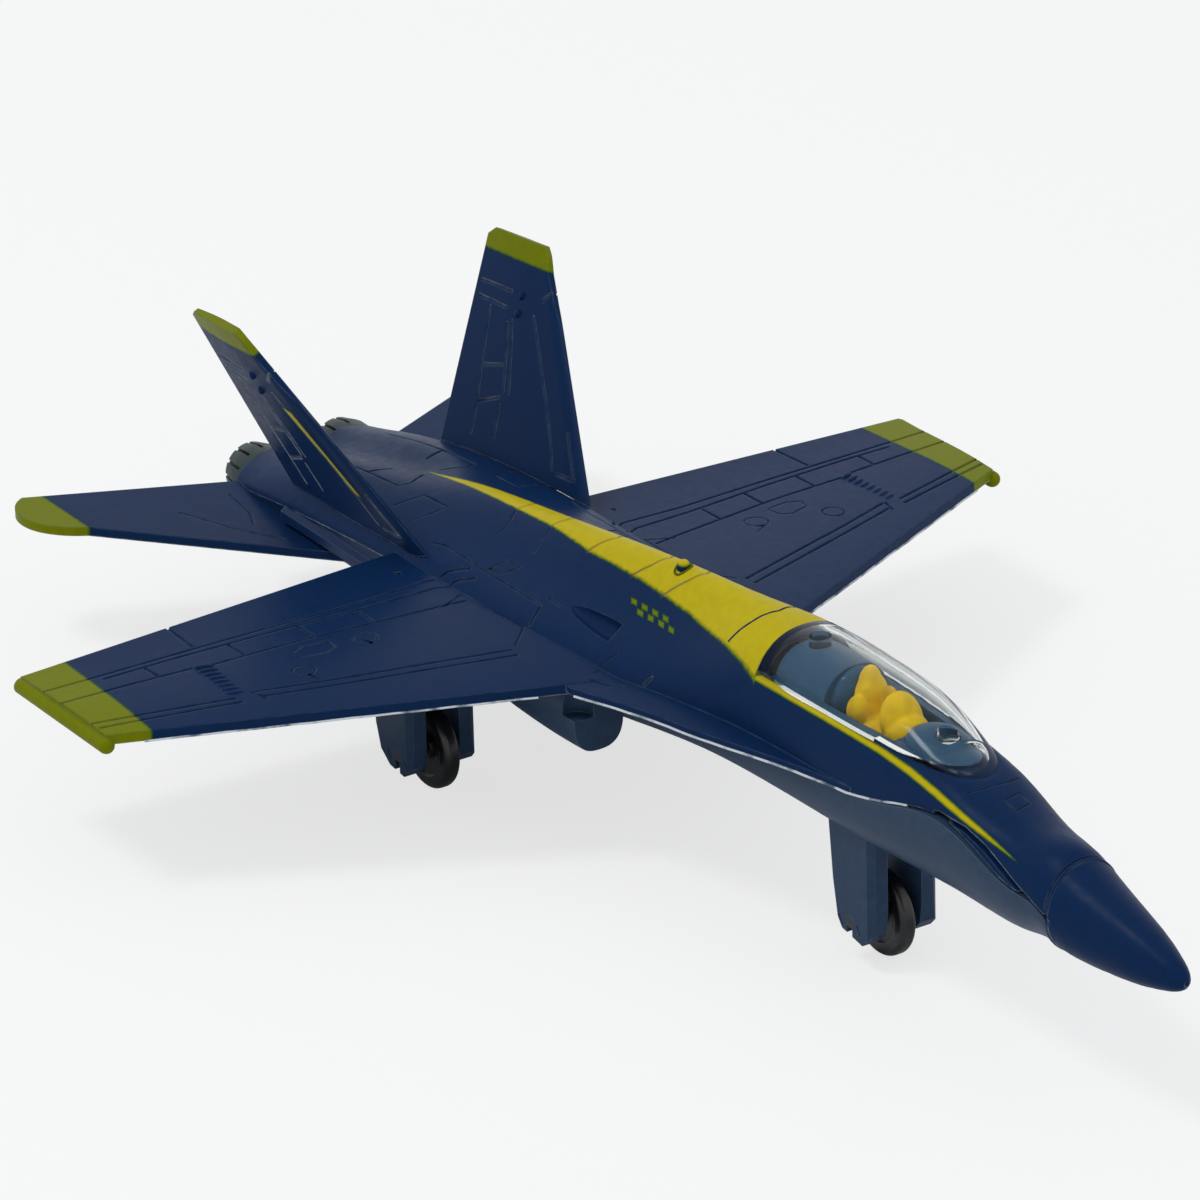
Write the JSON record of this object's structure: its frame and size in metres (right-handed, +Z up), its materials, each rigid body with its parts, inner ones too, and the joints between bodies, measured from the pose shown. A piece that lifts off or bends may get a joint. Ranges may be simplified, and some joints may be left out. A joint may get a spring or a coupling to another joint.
{
  "type": "toy jet airplane",
  "caption": "Twin-tail jet airplane toy: a cast upper shell on a moulded lower shell, a clear canopy over a seated figure, and free-rolling wheels.",
  "frame": {"origin": "on the floor under the middle of the bounding box", "axes": "+X to the nose, +Y to the port wing tip, +Z up"},
  "size_m": [0.1815, 0.1212, 0.045],
  "materials": {
    "cast_navy": "satin navy paint on a zinc casting, with yellow stripes",
    "plastic_slate": "moulded blue-grey plastic",
    "clear": "clear moulded plastic",
    "plastic_steel_blue": "moulded steel-blue plastic",
    "plastic_yellow": "moulded yellow plastic",
    "plastic_navy": "moulded navy plastic with yellow tips",
    "plastic_dark": "dark moulded plastic",
    "plastic_black": "black moulded plastic",
    "steel": "plain steel"
  },
  "bodies": {
    "airframe": {"upper_shell": "cast_navy", "lower_shell": "plastic_slate", "canopy": "clear", "cockpit_tub": "plastic_steel_blue", "pilot": "plastic_yellow", "left_fin": "plastic_navy", "right_fin": "plastic_navy", "left_stabilator": "plastic_navy", "right_stabilator": "plastic_navy", "left_nozzle": "plastic_dark", "right_nozzle": "plastic_dark", "nose_axle": "steel", "left_main_axle": "steel", "right_main_axle": "steel", "body_screws": "steel"},
    "nose_wheel_body": {"nose_wheel": "plastic_black"},
    "left_wheel_body": {"left_main_wheel": "plastic_black"},
    "right_wheel_body": {"right_main_wheel": "plastic_black"}
  },
  "joints": [
    {"name": "nose_wheel_spin", "type": "hinge", "parent": "airframe", "child": "nose_wheel_body", "pos_m": [0.0368, 0, 0.005], "axis": [0, 1, 0], "continuous": true},
    {"name": "left_wheel_spin", "type": "hinge", "parent": "airframe", "child": "left_wheel_body", "pos_m": [-0.0264, 0.0178, 0.005], "axis": [0, 1, 0], "continuous": true},
    {"name": "right_wheel_spin", "type": "hinge", "parent": "airframe", "child": "right_wheel_body", "pos_m": [-0.0264, -0.0178, 0.005], "axis": [0, 1, 0], "continuous": true}
  ]
}
